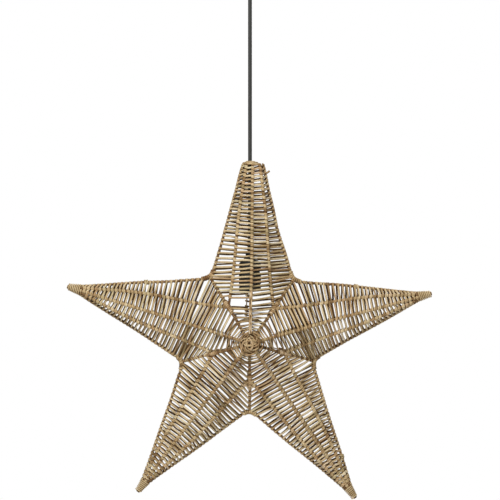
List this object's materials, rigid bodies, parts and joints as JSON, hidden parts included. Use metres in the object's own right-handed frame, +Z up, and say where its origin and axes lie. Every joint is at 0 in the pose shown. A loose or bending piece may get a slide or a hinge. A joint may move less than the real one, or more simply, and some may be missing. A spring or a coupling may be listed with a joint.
{
  "type": "advent star",
  "caption": "Hollow five-armed star shade of woven cane, hung by its cable from a ceiling fitting, with a lampholder inside its top arm.",
  "frame": {"origin": "centre of the ceiling fitting's flat top, where it meets the ceiling", "axes": "+Z up along the cable, +X to the right across the star, +Y from its front to its back"},
  "size_m": [0.4992, 0.1228, 0.7295],
  "materials": {
    "weave": "natural cane, satin",
    "stakes": "natural cane, satin",
    "lampholder": "satin",
    "cable": "matt",
    "ceiling_fitting": "satin"
  },
  "bodies": {
    "root": {"back_opening_hoop": "stakes", "bottom_back_valley_stake": "stakes", "bottom_front_valley_stake": "stakes", "cable": "cable", "ceiling_fitting": "ceiling_fitting", "hub_knot": "weave", "lampholder": "lampholder", "left_arm_back_lower_weave": "weave", "left_arm_back_ridge_stake": "stakes", "left_arm_back_upper_weave": "weave", "left_arm_front_lower_weave": "weave", "left_arm_front_ridge_stake": "stakes", "left_arm_front_upper_weave": "weave", "left_arm_lower_edge_stake": "stakes", "left_arm_upper_edge_stake": "stakes", "left_arm_wrapped_tip": "weave", "lower_left_arm_back_inner_weave": "weave", "lower_left_arm_back_outer_weave": "weave", "lower_left_arm_back_ridge_stake": "stakes", "lower_left_arm_front_inner_weave": "weave", "lower_left_arm_front_outer_weave": "weave", "lower_left_arm_front_ridge_stake": "stakes", "lower_left_arm_inner_edge_stake": "stakes", "lower_left_arm_outer_edge_stake": "stakes", "lower_left_arm_wrapped_tip": "weave", "lower_left_back_valley_stake": "stakes", "lower_left_front_valley_stake": "stakes", "lower_right_arm_back_inner_weave": "weave", "lower_right_arm_back_outer_weave": "weave", "lower_right_arm_back_ridge_stake": "stakes", "lower_right_arm_front_inner_weave": "weave", "lower_right_arm_front_outer_weave": "weave", "lower_right_arm_front_ridge_stake": "stakes", "lower_right_arm_inner_edge_stake": "stakes", "lower_right_arm_outer_edge_stake": "stakes", "lower_right_arm_wrapped_tip": "weave", "lower_right_back_valley_stake": "stakes", "lower_right_front_valley_stake": "stakes", "right_arm_back_lower_weave": "weave", "right_arm_back_ridge_stake": "stakes", "right_arm_back_upper_weave": "weave", "right_arm_front_lower_weave": "weave", "right_arm_front_ridge_stake": "stakes", "right_arm_front_upper_weave": "weave", "right_arm_lower_edge_stake": "stakes", "right_arm_upper_edge_stake": "stakes", "right_arm_wrapped_tip": "weave", "top_arm_back_left_weave": "weave", "top_arm_back_ridge_stake": "stakes", "top_arm_back_right_weave": "weave", "top_arm_collar": "weave", "top_arm_front_left_weave": "weave", "top_arm_front_ridge_stake": "stakes", "top_arm_front_right_weave": "weave", "top_arm_left_edge_stake": "stakes", "top_arm_right_edge_stake": "stakes", "upper_left_back_valley_stake": "stakes", "upper_left_front_valley_stake": "stakes", "upper_right_back_valley_stake": "stakes", "upper_right_front_valley_stake": "stakes"}
  },
  "joints": []
}
